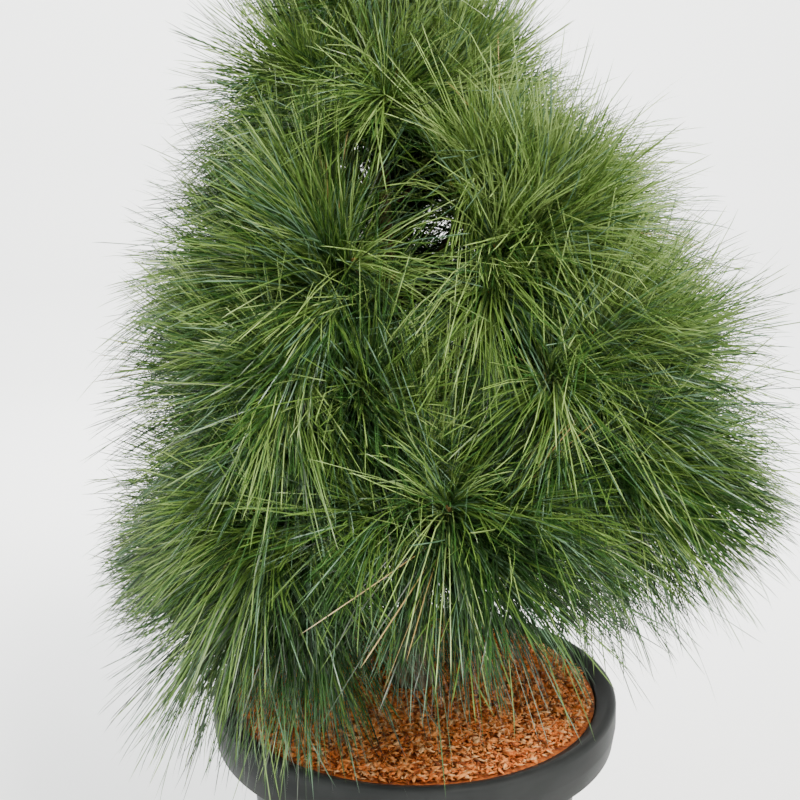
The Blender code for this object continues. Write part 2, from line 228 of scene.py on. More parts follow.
# The crown is open in front of the upper trunk and a little behind it, and thinner on one shoulder: the
# middle and half sizes of each hollow, and the share of needles that is missing there
HOLLOWS = (
    ((-0.010, -0.105, 0.768), (0.052, 0.105, 0.080), 0.82),
    ((-0.056, 0.060, 0.822), (0.024, 0.260, 0.022), 0.90),
    ((0.017, 0.060, 0.758), (0.018, 0.260, 0.022), 0.80),
    ((0.175, 0.000, 0.840), (0.070, 0.200, 0.080), 0.35),
)

# What makes a bundle fresh or dull: its place on the shoot, chance and old wood; with painted light where it
# heads up and painted shade deep inside the crown
FRESH_AT_BUD = 0.55
# Bundles that head up get lighter greens: painted light from above
PAINTED_LIGHT_UPWARD = 0.35
FRESH_SHIFT = 0.34
DULL_WHEN_OLD = 0.35
# Painted shade: bundles near the trunk get darker greens, fading out towards the crown's top
PAINTED_SHADE_INSIDE = 0.6
INSIDE_RADIUS = 0.075
INSIDE_TOP = 0.85
INSIDE_FADE = 0.1
# Where the light score steps from one green to the next, from painted shade through grown and fresh to
# painted light
TONE_STEPS = (0.0, 0.38, 0.78)
BLUISH_TONE = 4
BLUISH_SHARE = 0.09
DRY_TONE = 5
DRY_SHARE = 0.003

# Where needles get painted light, on the upper shoulder towards +X, and painted shade, under the front
# shoots, beyond the rest of the crown: middle, size and strength
LIGHT_AND_SHADE_SPOTS = (
    ((0.150, -0.050, 0.800), 0.14, 0.62),
    ((0.060, -0.160, 0.480), 0.14, -0.30),
)

# Mulch of shredded bark: where the splinters lie against the mulch's level, their lengths, and their widths
# as shares of the length and thicknesses as shares of the width
CHIPS = 21000
CHIP_EDGE = 0.168
CHIP_LAYER = (-0.001, 0.0035)
CHIP_LENGTH = 0.0062
CHIP_LENGTH_SPREAD = 0.42
CHIP_LENGTH_LIMITS = (0.0026, 0.017)
CHIP_WIDTH_SHARE = (0.22, 0.50)
CHIP_THICKNESS_SHARE = (0.35, 0.7)
CHIP_THICKNESS_LIMITS = (0.0006, 0.0026)
CHIP_SKEW = 0.3
CHIP_PITCH = 0.22
CHIP_ROLL = 0.35
CHIP_TONE_SHARES = (0.16, 0.32, 0.34, 0.18)

# Camera and studio
CAMERA_PLACE = (-0.014, -1.029, 0.810)
CAMERA_TILT = 6.5
CAMERA_LENS = 49.97
CAMERA_SHIFT = -0.125
PLANT_MIDDLE = (0, 0, 0.6)
FLOOR_SIDES = 96
FLOOR_DROP = 0.0005
FLOOR_BOWL = ((0, 0), (3.6, 0), (4.6, 0.25), (5.2, 0.9), (5.4, 2.0), (5.4, 4.5))

# A limb carries needles of one length, and its age is 1 on older wood and 0 on this year's
Limb = namedtuple("Limb", "foot heading length radius age needles")


# Colour and material


def linear(code):
    """A hex colour, as a screen shows it, in the linear values that shaders take."""
    parts = [int(code[i : i + 2], 16) / 255 for i in (0, 2, 4)]
    shares = [p / 12.92 if p <= 0.04045 else ((p + 0.055) / 1.055) ** 2.4 for p in parts]
    return (*shares, 1.0)


def add_node(tree, kind, settings=None, inputs=None):
    """A node with its settings, and its inputs set to a value or linked from a socket."""
    node = tree.nodes.new(kind)
    for name, value in (settings or {}).items():
        setattr(node, name, value)
    for key, value in (inputs or {}).items():
        if isinstance(value, bpy.types.NodeSocket):
            tree.links.new(value, node.inputs[key])
        else:
            node.inputs[key].default_value = value
    return node


def grown_material(name, colours, patch_mm, stretch=(1, 1, 1), relief_mm=0.0, grain_mm=1.0, shader=None):
    """A matte or waxy natural surface: colours in drifting patches, and a fine relief."""
    material = bpy.data.materials.new(name)
    material.use_nodes = True
    tree = material.node_tree
    surface = tree.nodes["Principled BSDF"]
    for key, value in (shader or {}).items():
        surface.inputs[key].default_value = value
    place = add_node(tree, "ShaderNodeTexCoord")
    drawn = add_node(
        tree, "ShaderNodeMapping", inputs={"Vector": place.outputs["Object"], "Scale": stretch}
    )
    patches = add_node(
        tree, "ShaderNodeTexNoise",
        inputs={"Vector": drawn.outputs["Vector"], "Scale": 1000 / patch_mm, "Detail": 3.0},
    )
    ramp = add_node(tree, "ShaderNodeValToRGB", inputs={"Fac": patches.outputs["Fac"]})
    stops = ramp.color_ramp.elements
    while len(stops) < len(colours):
        stops.new(0.5)
    for i, code in enumerate(colours):
        stops[i].position = 0.32 + 0.36 * i / max(1, len(colours) - 1)
        stops[i].color = linear(code)
    tree.links.new(ramp.outputs["Color"], surface.inputs["Base Color"])
    if relief_mm:
        grain = add_node(
            tree, "ShaderNodeTexNoise",
            inputs={"Vector": drawn.outputs["Vector"], "Scale": 1000 / grain_mm, "Detail": 4.0},
        )
        bump = add_node(
            tree, "ShaderNodeBump",
            inputs={"Height": grain.outputs["Fac"], "Distance": relief_mm / 1000, "Strength": 1.0},
        )
        tree.links.new(bump.outputs["Normal"], surface.inputs["Normal"])
    return material


# Needles are waxy: a soft, narrow shine over green that shifts a little along each spray
WAXY = {"Roughness": 0.44, "Specular IOR Level": 0.55}
NEEDLE_GREENS = [
    # The first four greens are one needle colour in lit and shaded copies, from painted shade to painted
    # light, and they also carry the needles' own age
    grown_material("needle_shaded", ("0f240a", "1a3612"), 30, shader=WAXY),
    grown_material("needle_grown", ("214215", "30561f"), 30, shader=WAXY),
    grown_material("needle_fresh", ("446323", "5c7832"), 30, shader=WAXY),
    grown_material("needle_sunlit", ("6b883e", "8aa25e"), 30, shader=WAXY),
    grown_material("needle_bluish", ("3c5d44", "6a886c"), 30, shader=WAXY),
    grown_material("needle_dry", ("84703c", "a08c58"), 30, shader=WAXY),
]

# Young bark: thin, grey-brown and finely cracked along the stem
BARK = grown_material(
    "young_bark", ("3a2a1c", "5e4832", "7d6a50"), 6, (1, 1, 0.35), relief_mm=0.6, grain_mm=2.2,
    shader={"Roughness": 0.85},
)
# This year's shoots are smooth and olive under a bloom
SHOOT_SKIN = grown_material(
    "shoot_skin", ("4d5a2a", "6f7440"), 12, relief_mm=0.1, shader={"Roughness": 0.6}
)
# Buds are papery scales, tan with a little resin on them
BUD_SCALE = grown_material(
    "bud_scale", ("7a5228", "a87c46", "c6a36c"), 2.5, relief_mm=0.3, grain_mm=1.2,
    shader={"Roughness": 0.55},
)
# Shredded bark: dry, fibrous chips from dark rust to pale orange, mottled by the millimetre
CHIP_MOTTLE = (3.0, 3.0, 3.0)
CHIP_COLOURS = (
    ("chip_dark", ("7c3a12", "a0501a")),
    ("chip_rust", ("d86c26", "ec8438")),
    ("chip_orange", ("f49244", "fea85a")),
    ("chip_pale", ("f4ae6a", "fcc68c")),
)
CHIP_TONES = [
    grown_material(name, pair, 3, CHIP_MOTTLE, relief_mm=0.4, grain_mm=1.0, shader={"Roughness": 0.95})
    for name, pair in CHIP_COLOURS
]
# Moist fines between the chips
MIX = grown_material(
    "bark_fines", ("5c2a10", "9a4e1a", "bc6826"), 5, relief_mm=1.5, grain_mm=2.5, shader={"Roughness": 1.0}
)
# Polypropylene, moulded: charcoal and nearly matt, with faint dust and a very fine grain
PLASTIC = grown_material(
    "moulded_polypropylene", ("282a2a", "2b2d2d", "2f3131"), 45, (1, 1, 2.5), relief_mm=0.03, grain_mm=0.9,
    shader={"Roughness": 0.42, "IOR": 1.49, "Specular IOR Level": 0.03},
)


# Meshes


def piece_from(name, bm, material, nodes):
    """The finished piece of a bmesh, riding on the plant and standing for its solids."""
    mesh = bpy.data.meshes.new(name)
    bm.to_mesh(mesh)
    bm.free()
    return finish_piece(name, mesh, [material], nodes)


def finish_piece(name, mesh, materials, nodes, smooth=True):
    """Puts a mesh in the scene with its materials, riding on the plant and standing for its solids."""
    for material in materials:
        mesh.materials.append(material)
    if smooth:
        mesh.shade_smooth()
    obj = bpy.data.objects.new(name, mesh)
    bpy.context.scene.collection.objects.link(obj)
    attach(obj, "root")
    if nodes:
        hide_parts(*nodes)
    return obj


def template_of(bm):
    """The points of a small bmesh, and its faces as lists of their numbers."""
    points = np.array([v.co[:] for v in bm.verts])
    faces = [[v.index for v in f.verts] for f in bm.faces]
    bm.free()
    return points, faces


def joined_copies(name, points, faces, picks):
    """One mesh of many copies of a template: points by copy, vertex and axis, and each copy's material."""
    copies, size, _ = points.shape
    flat = np.concatenate([np.array(f) for f in faces])
    lengths = np.array([len(f) for f in faces])
    loops = (flat[None, :] + size * np.arange(copies)[:, None]).ravel()
    ends = np.cumsum(np.tile(lengths, copies))
    mesh = bpy.data.meshes.new(name)
    mesh.vertices.add(copies * size)
    mesh.vertices.foreach_set("co", points.astype(np.float32).ravel())
    mesh.loops.add(len(loops))
    mesh.loops.foreach_set("vertex_index", loops.astype(np.int32))
    mesh.polygons.add(len(faces) * copies)
    mesh.polygons.foreach_set("loop_start", np.concatenate([[0], ends[:-1]]).astype(np.int32))
    mesh.polygons.foreach_set("material_index", np.repeat(picks, len(faces)).astype(np.int32))
    mesh.update(calc_edges=True)
    return mesh


# The pot and the mulch, turned from their profiles


def spun(profile, sides, rounding, segments=3):
    """A turned bmesh from (radius, height) points, with its corners rounded first."""
    bm = bmesh.new()
    verts = [bm.verts.new((r, 0, z)) for r, z in profile]
    for a, b in zip(verts, verts[1:]):
        bm.edges.new((a, b))
    bmesh.ops.bevel(
        bm, geom=verts[1:-1], offset=rounding, segments=segments, profile=0.5, affect="VERTICES",
        clamp_overlap=True, material=-1,
    )
    bmesh.ops.spin(
        bm, geom=bm.verts[:] + bm.edges[:], axis=(0, 0, 1), cent=(0, 0, 0), steps=sides,
        angle=2 * math.pi, use_merge=True,
    )
    bmesh.ops.remove_doubles(bm, verts=bm.verts, dist=0.00002)
    bmesh.ops.recalc_face_normals(bm, faces=bm.faces)
    return bm


def pot_inside():
    """Radius and height at each corner of the pot's inside, from its floor up."""
    shoulder = POT_HEIGHT - SKIRT_HEIGHT
    return [
        (0, WALL),
        (FOOT_RADIUS - FOOT_STEP - WALL, WALL),
        (BODY_TOP_RADIUS - WALL, shoulder),
        (LIP_RADIUS - WALL, shoulder + 3 * WALL),
        (LIP_RADIUS, POT_HEIGHT - LIP_DROP),
    ]


def pot_profile():
    """The whole closed profile of the pot: inside, rim, skirt and foot."""
    shoulder = POT_HEIGHT - SKIRT_HEIGHT
    skirt_foot = RIM_RADIUS - SKIRT_TAPER
    rim = [
        (RIM_RADIUS - 2 * RIM_ROUND, POT_HEIGHT - 0.15 * RIM_ROUND),
        (RIM_RADIUS - RIM_ROUND, POT_HEIGHT),
        (RIM_RADIUS - 0.3 * RIM_ROUND, POT_HEIGHT - 0.3 * RIM_ROUND),
        (RIM_RADIUS, POT_HEIGHT - RIM_ROUND),
    ]
    skirt = [
        (RIM_RADIUS, POT_HEIGHT - 0.55 * SKIRT_HEIGHT),
        (skirt_foot, shoulder),
        (skirt_foot - WALL, shoulder),
        (RIM_RADIUS - WALL, POT_HEIGHT - 0.55 * SKIRT_HEIGHT),
        (RIM_RADIUS - 1.4 * WALL, POT_HEIGHT - WALL - RIM_ROUND),
        (LIP_RADIUS + WALL, POT_HEIGHT - LIP_DROP - WALL),
        (LIP_RADIUS, shoulder + 2.4 * WALL),
        (BODY_TOP_RADIUS, shoulder - WALL),
    ]
    foot = [
        (FOOT_RADIUS, FOOT_STEP_HEIGHT),
        (FOOT_RADIUS - FOOT_STEP, FOOT_STEP_HEIGHT - FOOT_STEP),
        (FOOT_RADIUS - FOOT_STEP, 0.002),
        (FOOT_RADIUS - FOOT_STEP - 0.002, 0),
        (0, 0),
    ]
    return pot_inside() + rim + skirt + foot


def make_pot():
    """The moulded tub, with its drain holes cut through the floor."""
    pot = piece_from(
        "moulded_pot", spun(pot_profile(), POT_SIDES, POT_ROUNDING), PLASTIC, ["pot"]
    )
    bm = bmesh.new()
    for i in range(DRAIN_HOLES):
        angle = 2 * math.pi * (i + 0.5) / DRAIN_HOLES
        place = Matrix.Translation((DRAIN_CIRCLE * math.cos(angle), DRAIN_CIRCLE * math.sin(angle), 0))
        bmesh.ops.create_cone(
            bm, cap_ends=True, segments=DRAIN_SIDES, radius1=DRAIN_RADIUS, radius2=DRAIN_RADIUS,
            depth=6 * WALL, matrix=place,
        )
    drills = bpy.data.meshes.new("drain_drills")
    bm.to_mesh(drills)
    bm.free()
    cutter = bpy.data.objects.new("drain_drills", drills)
    bpy.context.scene.collection.objects.link(cutter)
    drain = pot.modifiers.new("drain", "BOOLEAN")
    drain.operation = "DIFFERENCE"
    drain.object = cutter
    graph = bpy.context.evaluated_depsgraph_get()
    pot.data = bpy.data.meshes.new_from_object(pot.evaluated_get(graph))
    pot.modifiers.clear()
    bpy.data.objects.remove(cutter)
    pot.data.shade_smooth()
    pot.data.set_sharp_from_angle(angle=math.radians(SHARP_ANGLE))


def mulch_level(radius):
    """Height of the mulch: flat where the trunk stands, then sinking to the lip."""
    edge = POT_HEIGHT - MIX_EDGE_DROP
    share = min(1, max(0, (radius - TRUNK_SEAT_RADIUS) / (LIP_RADIUS - TRUNK_SEAT_RADIUS)))
    return edge + MIX_HEAP * (1 - share * share)


def mulch_levels(reach):
    """The same heights for an array of distances from the middle."""
    edge_drop = np.clip((reach - TRUNK_SEAT_RADIUS) / (LIP_RADIUS - TRUNK_SEAT_RADIUS), 0, 1) ** 2
    return POT_HEIGHT - MIX_EDGE_DROP + MIX_HEAP * (1 - edge_drop)


def make_root_ball():
    """The mix in the pot, which shows as rough fines between the chips."""
    edge = LIP_RADIUS - 2.5 * GAP
    reaches = [edge * i / MIX_RINGS for i in range(MIX_RINGS + 1)]
    top = [(reach, mulch_level(reach) - 0.001) for reach in reaches]
    side = [(r - 2.5 * GAP, z + GAP) for r, z in reversed(pot_inside()[1:4])]
    bm = spun(top + side + [(0, WALL + GAP)], MIX_SIDES, MIX_ROUNDING, 1)
    for vert in bm.verts:
        reach = math.hypot(vert.co.x, vert.co.y)
        if vert.co.z > POT_HEIGHT - 0.02 and reach < edge - 0.002:
            vert.co.z += MIX_ROUGHNESS * noise.noise(vert.co * MIX_LUMPS_PER_METRE) - MIX_SINK
    piece_from("root_ball_fines", bm, MIX, ["root_ball"])


def make_chips():
    """Loose chips, each a torn flat splinter, in a layer two or three deep."""
    bm = bmesh.new()
    bmesh.ops.create_uvsphere(bm, u_segments=4, v_segments=2, radius=0.5)
    for vert in bm.verts:
        if abs(vert.co.y) > 0.1 or abs(vert.co.z) > 0.1:
            vert.co.x -= CHIP_SKEW * (vert.co.y + vert.co.z)
    shape, faces = template_of(bm)
    rng = np.random.default_rng(11)
    length = np.clip(rng.lognormal(math.log(CHIP_LENGTH), CHIP_LENGTH_SPREAD, CHIPS), *CHIP_LENGTH_LIMITS)
    width = length * rng.uniform(*CHIP_WIDTH_SHARE, CHIPS)
    thick = np.clip(width * rng.uniform(*CHIP_THICKNESS_SHARE, CHIPS), *CHIP_THICKNESS_LIMITS)
    reach = CHIP_EDGE * np.sqrt(rng.uniform(0.02, 1, CHIPS))
    angle = rng.uniform(0, 2 * math.pi, CHIPS)
    height = mulch_levels(reach) + rng.uniform(*CHIP_LAYER, CHIPS)
    yaw = rng.uniform(0, 2 * math.pi, CHIPS)
    pitch = rng.normal(0, CHIP_PITCH, CHIPS)
    roll = rng.normal(0, CHIP_ROLL, CHIPS)
    lengthwise = np.stack([np.cos(yaw) * np.cos(pitch), np.sin(yaw) * np.cos(pitch), np.sin(pitch)], 1)
    level = np.stack([-np.sin(yaw), np.cos(yaw), np.zeros(CHIPS)], 1)
    upward = np.cross(lengthwise, level)
    across = level * np.cos(roll)[:, None] + upward * np.sin(roll)[:, None]
    normal = np.cross(lengthwise, across)
    middle = np.stack([reach * np.cos(angle), reach * np.sin(angle), height], 1)
    points = (
        middle[:, None, :]
        + shape[None, :, 0, None] * (length[:, None] * lengthwise)[:, None, :]
        + shape[None, :, 1, None] * (width[:, None] * across)[:, None, :]
        + shape[None, :, 2, None] * (thick[:, None] * normal)[:, None, :]
    )
    picks = rng.choice(len(CHIP_TONES), CHIPS, p=CHIP_TONE_SHARES)
    mesh = joined_copies("bark_chips", points, faces, picks)
    finish_piece("bark_chips", mesh, CHIP_TONES, [], smooth=False)


# Limbs: the trunk and boughs of the solids


def trunk_share(height):
    foot = mulch_level(0) + GAP
    return (height - foot) / (TRUNK_TOP - foot)


def trunk_point(height):
    share = max(0.0, trunk_share(height) - 0.05)
    x = TRUNK_LEAN * share**1.4 + TRUNK_SWAY * math.sin(7 * share)
    return Vector((x, TRUNK_SWAY * math.sin(5 * share), height))


def trunk_radius(height):
    share = max(0.0, trunk_share(height))
    flare = ROOT_FLARE * math.exp(-share * (TRUNK_TOP - mulch_level(0)) / FLARE_FADE)
    return TRUNK_FOOT_RADIUS + (TRUNK_TIP_RADIUS - TRUNK_FOOT_RADIUS) * share + flare


def heading_of(azimuth, rise):
    a, e = math.radians(azimuth), math.radians(rise)
    return Vector((math.cos(a) * math.cos(e), math.sin(a) * math.cos(e), math.sin(e)))


def bough_plan():
    """Every bough as (name, points of its middle line, radii, heading of its tip, vigour)."""
    chance = random.Random(7)
    plans = []
    for level, whorl in enumerate(WHORLS, 1):
        for n in range(whorl.boughs):
            azimuth = whorl.azimuth + whorl.arc * n / whorl.boughs + chance.uniform(-1, 1) * AZIMUTH_SHIFT
            rise = whorl.rise + chance.uniform(-1, 1) * RISE_SHIFT
            height = whorl.height + chance.uniform(-0.008, 0.008)
            reach = whorl.reach * (1 + whorl.skew * math.cos(math.radians(azimuth)))
            reach *= chance.uniform(0.92, 1.08)
            out = heading_of(azimuth, 0)
            tip_heading = heading_of(azimuth, rise)
            foot_radius = BOUGH_THICKNESS * trunk_radius(height)
            start = trunk_point(height) + out * (trunk_radius(height) + GAP)
            points = [start, start + out * BOUGH_COLLAR]
            for i in range(2, BOUGH_POINTS):
                share = (i - 1) / (BOUGH_POINTS - 2)
                along = out.lerp(tip_heading, min(1, 0.4 + share)).normalized()
                points.append(points[-1] + along * (reach / (BOUGH_POINTS - 2)))
            heading = (points[-1] - points[-2]).normalized()
            radii = [
                foot_radius + (BOUGH_TIP_RADIUS - foot_radius) * i / (BOUGH_POINTS - 1)
                for i in range(BOUGH_POINTS)
            ]
            plans.append((f"{level}_{n + 1}", points, radii, heading, whorl.vigour))
    return plans


def smooth_line(points, steps):
    """Points on a smooth curve through the given ones, with the same number between each pair."""
    ends = [points[0] * 2 - points[1]] + list(points) + [points[-1] * 2 - points[-2]]
    line = []
    for a, b, c, d in zip(ends, ends[1:], ends[2:], ends[3:]):
        for i in range(steps):
            t = i / steps
            line.append(
                0.5 * ((2 * b) + (c - a) * t + (2 * a - 5 * b + 4 * c - d) * t**2
                       + (3 * b - a - 3 * c + d) * t**3)
            )
    return line + [points[-1]]


def limb_tube(bm, line, radii, sides, relief, grain):
    """Wraps a grid round a line as a closed limb whose skin rises and falls by the relief."""
    rings = len(line) - 1
    made = bmesh.ops.create_grid(bm, x_segments=sides, y_segments=rings, size=0.5)["verts"]
    frames = []
    across = None
    for i, point in enumerate(line):
        ahead = (line[min(i + 1, rings)] - line[max(i - 1, 0)]).normalized()
        across = ahead.orthogonal() if across is None else across - ahead * across.dot(ahead)
        across = across.normalized()
        frames.append((point, across, ahead.cross(across)))
    for vert in made:
        ring = round((vert.co.y + 0.5) * rings)
        angle = (vert.co.x + 0.5) * 2 * math.pi
        point, first, second = frames[ring]
        outward = first * math.cos(angle) + second * math.sin(angle)
        spot = Vector((math.cos(angle) * grain, math.sin(angle) * grain, ring * 0.35))
        swell = 1 + relief * (noise.noise(spot) + 0.5 * noise.noise(spot * 2.7))
        vert.co = point + outward * (radii[ring] * swell)
    bmesh.ops.remove_doubles(bm, verts=made, dist=0.00003)
    bmesh.ops.holes_fill(bm, edges=[e for e in bm.edges if e.is_boundary], sides=0)


def make_trunk():
    """The trunk from just inside the mix into the leading shoot, thicker at each whorl."""
    foot = mulch_level(0) - TRUNK_SUNK
    top = TRUNK_TOP + LEADER_LENGTH * 0.3
    heights = [foot + (top - foot) * i / TRUNK_RINGS for i in range(TRUNK_RINGS + 1)]
    line = [trunk_point(h) for h in heights]
    radii = []
    for height in heights:
        knot = sum(math.exp(-(((height - whorl.height) / KNOT_REACH) ** 2)) for whorl in WHORLS)
        radii.append(max(THINNEST_TRUNK, trunk_radius(height)) * (1 + KNOT_SWELL * knot))
    bm = bmesh.new()
    limb_tube(bm, line, radii, TRUNK_SIDES, TRUNK_RELIEF, TRUNK_GRAIN)
    bmesh.ops.recalc_face_normals(bm, faces=bm.faces)
    piece_from("bark_trunk", bm, BARK, ["trunk"])


def make_boughs(plans):
    """Every bough from inside the trunk's bark to the tip of its shoot, thinning all the way."""
    bm = bmesh.new()
    for _, points, radii, heading, vigour in plans:
        start = points[0] - (points[1] - points[0]).normalized() * BOUGH_SUNK
        shoot = heading * (SHOOT_LENGTH * vigour)
        corners = [start] + points[1:] + [points[-1] + shoot * 0.5, points[-1] + shoot]
        line = smooth_line(corners, BOUGH_STEPS)
        thick = radii[0] * BOUGH_SWELL
        last = len(line) - 1
        shares = [(1 - i / last) ** BOUGH_THINNING for i in range(last + 1)]
        radii_along = [TIP_RADIUS + (thick - TIP_RADIUS) * share for share in shares]
        limb_tube(bm, line, radii_along, BOUGH_SIDES, BOUGH_RELIEF, BOUGH_GRAIN)
    bmesh.ops.recalc_face_normals(bm, faces=bm.faces)
    piece_from("bark_boughs", bm, BARK, ["bough_" + plan[0] for plan in plans])


# Shoots: the stem of each mass, its two side twigs and the finer ones


def shoot_limbs(foot, heading, length, vigour, chance):
    """The limbs of a mass: its stem and two side twigs as in the solids, then the finer twigs."""
    needles = NEEDLE_LENGTH * vigour
    side = heading.cross(Vector((0, 0, 1)))
    side = side.normalized() if side.length > 0.01 else Vector((1, 0, 0))
    upward = side.cross(heading)
    limbs = [Limb(foot, heading, length, BOUGH_TIP_RADIUS, 0, needles)]
    for hand in (-1, 1):
        turn = Matrix.Rotation(math.radians(TWIG_SPREAD * vigour * hand), 3, upward)
        limbs.append(
            Limb(
                foot + heading * (length * TWIG_START),
                (turn @ heading).normalized(), length * TWIG_SHARE, TIP_RADIUS * 1.2, 0, needles,
            )
        )
    for share, lift, roll, part in FINE_TWIGS:
        rolled = roll + chance.uniform(-ROLL_SHIFT, ROLL_SHIFT)
        axis = Matrix.Rotation(math.radians(rolled), 3, heading) @ side
        turn = Matrix.Rotation(math.radians(lift + chance.uniform(*LIFT_SHIFT)), 3, axis)
        reach = length * part * chance.uniform(*LENGTH_SHIFT)
        start = foot + heading * (length * share)
        limbs.append(Limb(start, (turn @ heading).normalized(), reach, TIP_RADIUS, 0, needles))
    return limbs


def old_wood(points, radius, needles):
    """The last stretches of a bough that still carry needles: two on the low boughs and one above."""
    clothed = 2 if points[0].z < BARE_ABOVE else 1
    pairs = zip(points[-1 - clothed :], points[-clothed:])
    return [Limb(a, (b - a).normalized(), (b - a).length, radius, 1, needles) for a, b in pairs]


def mass_plan(plans):
    """Every mass of needles by its solid's name, as the limbs that carry it."""
    masses = {}
    chance = random.Random(23)
    for name, points, radii, heading, vigour in plans:
        limbs = shoot_limbs(points[-1], heading, SHOOT_LENGTH * vigour, vigour, chance)
        masses["needles_" + name] = limbs + old_wood(points, radii[-1], NEEDLE_LENGTH * vigour)
    top = trunk_point(TRUNK_TOP)
    up = (top - trunk_point(TRUNK_TOP - 0.03)).normalized()
    masses["needles_leader"] = shoot_limbs(top, up, LEADER_LENGTH, LEADER_VIGOUR, chance)
    return masses


def make_twigs(masses):
    """The skin of this year's shoots and twigs."""
    bm = bmesh.new()
    thin = TIP_RADIUS * 0.8
    for limbs in masses.values():
        for limb in limbs:
            if limb.age:
                continue
            steps = range(TWIG_STEPS + 1)
            line = [limb.foot + limb.heading * (limb.length * i / TWIG_STEPS) for i in steps]
            radii = [limb.radius + (thin - limb.radius) * i / TWIG_STEPS for i in steps]
            limb_tube(bm, line, radii, TWIG_SIDES, TWIG_RELIEF, TWIG_GRAIN)
    bmesh.ops.recalc_face_normals(bm, faces=bm.faces)
    piece_from("shoots_and_twigs", bm, SHOOT_SKIN, [])


def make_buds(masses):
    """A pointed bud of overlapping scales at the end of every shoot and twig."""
    bm = bmesh.new()
    for limbs in masses.values():
        for limb in limbs:
            if limb.age:
                continue
            size = LARGE_BUD if limb.length > LARGE_BUD_SHOOT else SMALL_BUD
            start = limb.foot + limb.heading * (limb.length - 0.001)
            last = len(BUD_SHAPE) - 1
            line = [start + limb.heading * (size * i / last) for i in range(last + 1)]
            radii = [size * share for share in BUD_SHAPE]
            limb_tube(bm, line, radii, BUD_SIDES, BUD_RELIEF, BUD_GRAIN)
    bmesh.ops.recalc_face_normals(bm, faces=bm.faces)
    piece_from("buds", bm, BUD_SCALE, [])


# Needles


def perpendiculars(headings):
    """Two unit vectors across each heading."""
    aid = np.where(np.abs(headings[:, 2:3]) < 0.9, [[0.0, 0.0, 1.0]], [[1.0, 0.0, 0.0]])
    first = np.cross(headings, aid)
    first /= np.linalg.norm(first, axis=1, keepdims=True)
    return first, np.cross(headings, first)


def bundles_on(limb, rng):
    """Where each bundle of needles starts on a limb, where it heads and how far along it sits."""
    density = OLD_BUNDLES_PER_METRE if limb.age else BUNDLES_PER_METRE
    if limb.age and limb.foot.z > BARE_ABOVE:
        density *= BARE_SHARE
    count = max(6, int(limb.length * density))
    share = (np.arange(count) + rng.uniform(0.1, 0.9, count)) / count
    closing = (OLD_SPREAD if limb.age else SPREAD_AT_BUD) - SPREAD_AT_FOOT
    spread = np.radians(SPREAD_AT_FOOT + closing * share + rng.normal(0, SPREAD_SHIFT, count))
    turn = np.arange(count) * GOLDEN_ANGLE + rng.uniform(-TURN_SHIFT, TURN_SHIFT, count)
    heading = np.array(limb.heading)[None, :]
    first, second = perpendiculars(heading)
    outward = first * np.cos(turn)[:, None] + second * np.sin(turn)[:, None]
    headings = heading * np.cos(spread)[:, None] + outward * np.sin(spread)[:, None]
    bare = 0 if limb.age else SHOOT_BARE * 0.5
    roots = np.array(limb.foot)[None, :] + heading * (bare + (limb.length - bare) * share)[:, None]
    return roots, headings, share


def greens_of(roots, share, headings, age, rng):
    """Tone of each bundle: darker on old wood, fresher towards the buds, with painted light where it heads
    up and on one shoulder, and painted shade inside the crown and under the front shoots.
    """
    count = len(share)
    # Painted shade deep inside the crown, near the trunk and below its top
    inside = np.exp(-((np.hypot(roots[:, 0], roots[:, 1]) / INSIDE_RADIUS) ** 2))
    inside *= np.clip((INSIDE_TOP - roots[:, 2]) / INSIDE_FADE, 0, 1)
    # Painted light where the bundle heads up
    light = FRESH_AT_BUD * share + PAINTED_LIGHT_UPWARD * headings[:, 2] + rng.normal(0, FRESH_SHIFT, count)
    light = light - DULL_WHEN_OLD * age - PAINTED_SHADE_INSIDE * inside
    # A painted pool of light on the upper +X shoulder and painted shade under the front shoots
    for middle, size, strength in LIGHT_AND_SHADE_SPOTS:
        light += strength * np.exp(-((np.linalg.norm(roots - middle, axis=1) / size) ** 2))
    picks = np.digitize(light, TONE_STEPS)
    picks = np.where(rng.uniform(0, 1, count) < BLUISH_SHARE, BLUISH_TONE, picks)
    return np.where(rng.uniform(0, 1, count) < DRY_SHARE, DRY_TONE, picks)


def sway_at(places):
    """A smooth push that wanders through the crown, so that neighbouring bundles clump and part."""
    rng = np.random.default_rng(5)
    push = np.zeros_like(places)
    for strength, wavelength, count in SWAY_WAVES:
        for _ in range(count):
            wave, way = rng.normal(0, 1, (2, 3))
            wave *= 2 * math.pi / wavelength / np.linalg.norm(wave)
            way *= strength * math.sqrt(2 / count) / np.linalg.norm(way)
            push += np.sin(places @ wave + rng.uniform(0, 2 * math.pi))[:, None] * way
    return push


def floor_under(reach):
    """How low a needle may hang: to the mulch, then to the pot's rim, then to the ground."""
    rim = np.where(reach < RIM_RADIUS + RIM_MARGIN, POT_HEIGHT + RIM_CLEAR, 0.0)
    return np.where(reach < LIP_RADIUS - RIM_CLEAR, mulch_levels(reach) + MULCH_CLEAR, rim)


def kept_in_reach(points, roots, rng):
    """Shortens the needles that would end much outside the solids' reach, unevenly, to a ragged edge."""
    middle = (np.array(cad_low) + np.array(cad_high)) / 2
    half = (np.array(cad_high) - np.array(cad_low)) / 2 + OVERREACH
    limit = rng.uniform(1 - RAGGED, 1, len(roots))
    starts = (roots - middle) / half
    tips = (points[:, -1] - middle) / half
    begin = np.stack([np.hypot(starts[:, 0], starts[:, 1]), starts[:, 2]])
    end = np.stack([np.hypot(tips[:, 0], tips[:, 1]), tips[:, 2]])
    part = np.clip((limit - begin) / np.maximum(end - begin, 0.001), SHORTEST, 1)
    part = np.where(end > limit, part, 1).min(axis=0)
    return roots[:, None, :] + (points - roots[:, None, :]) * part[:, None, None]


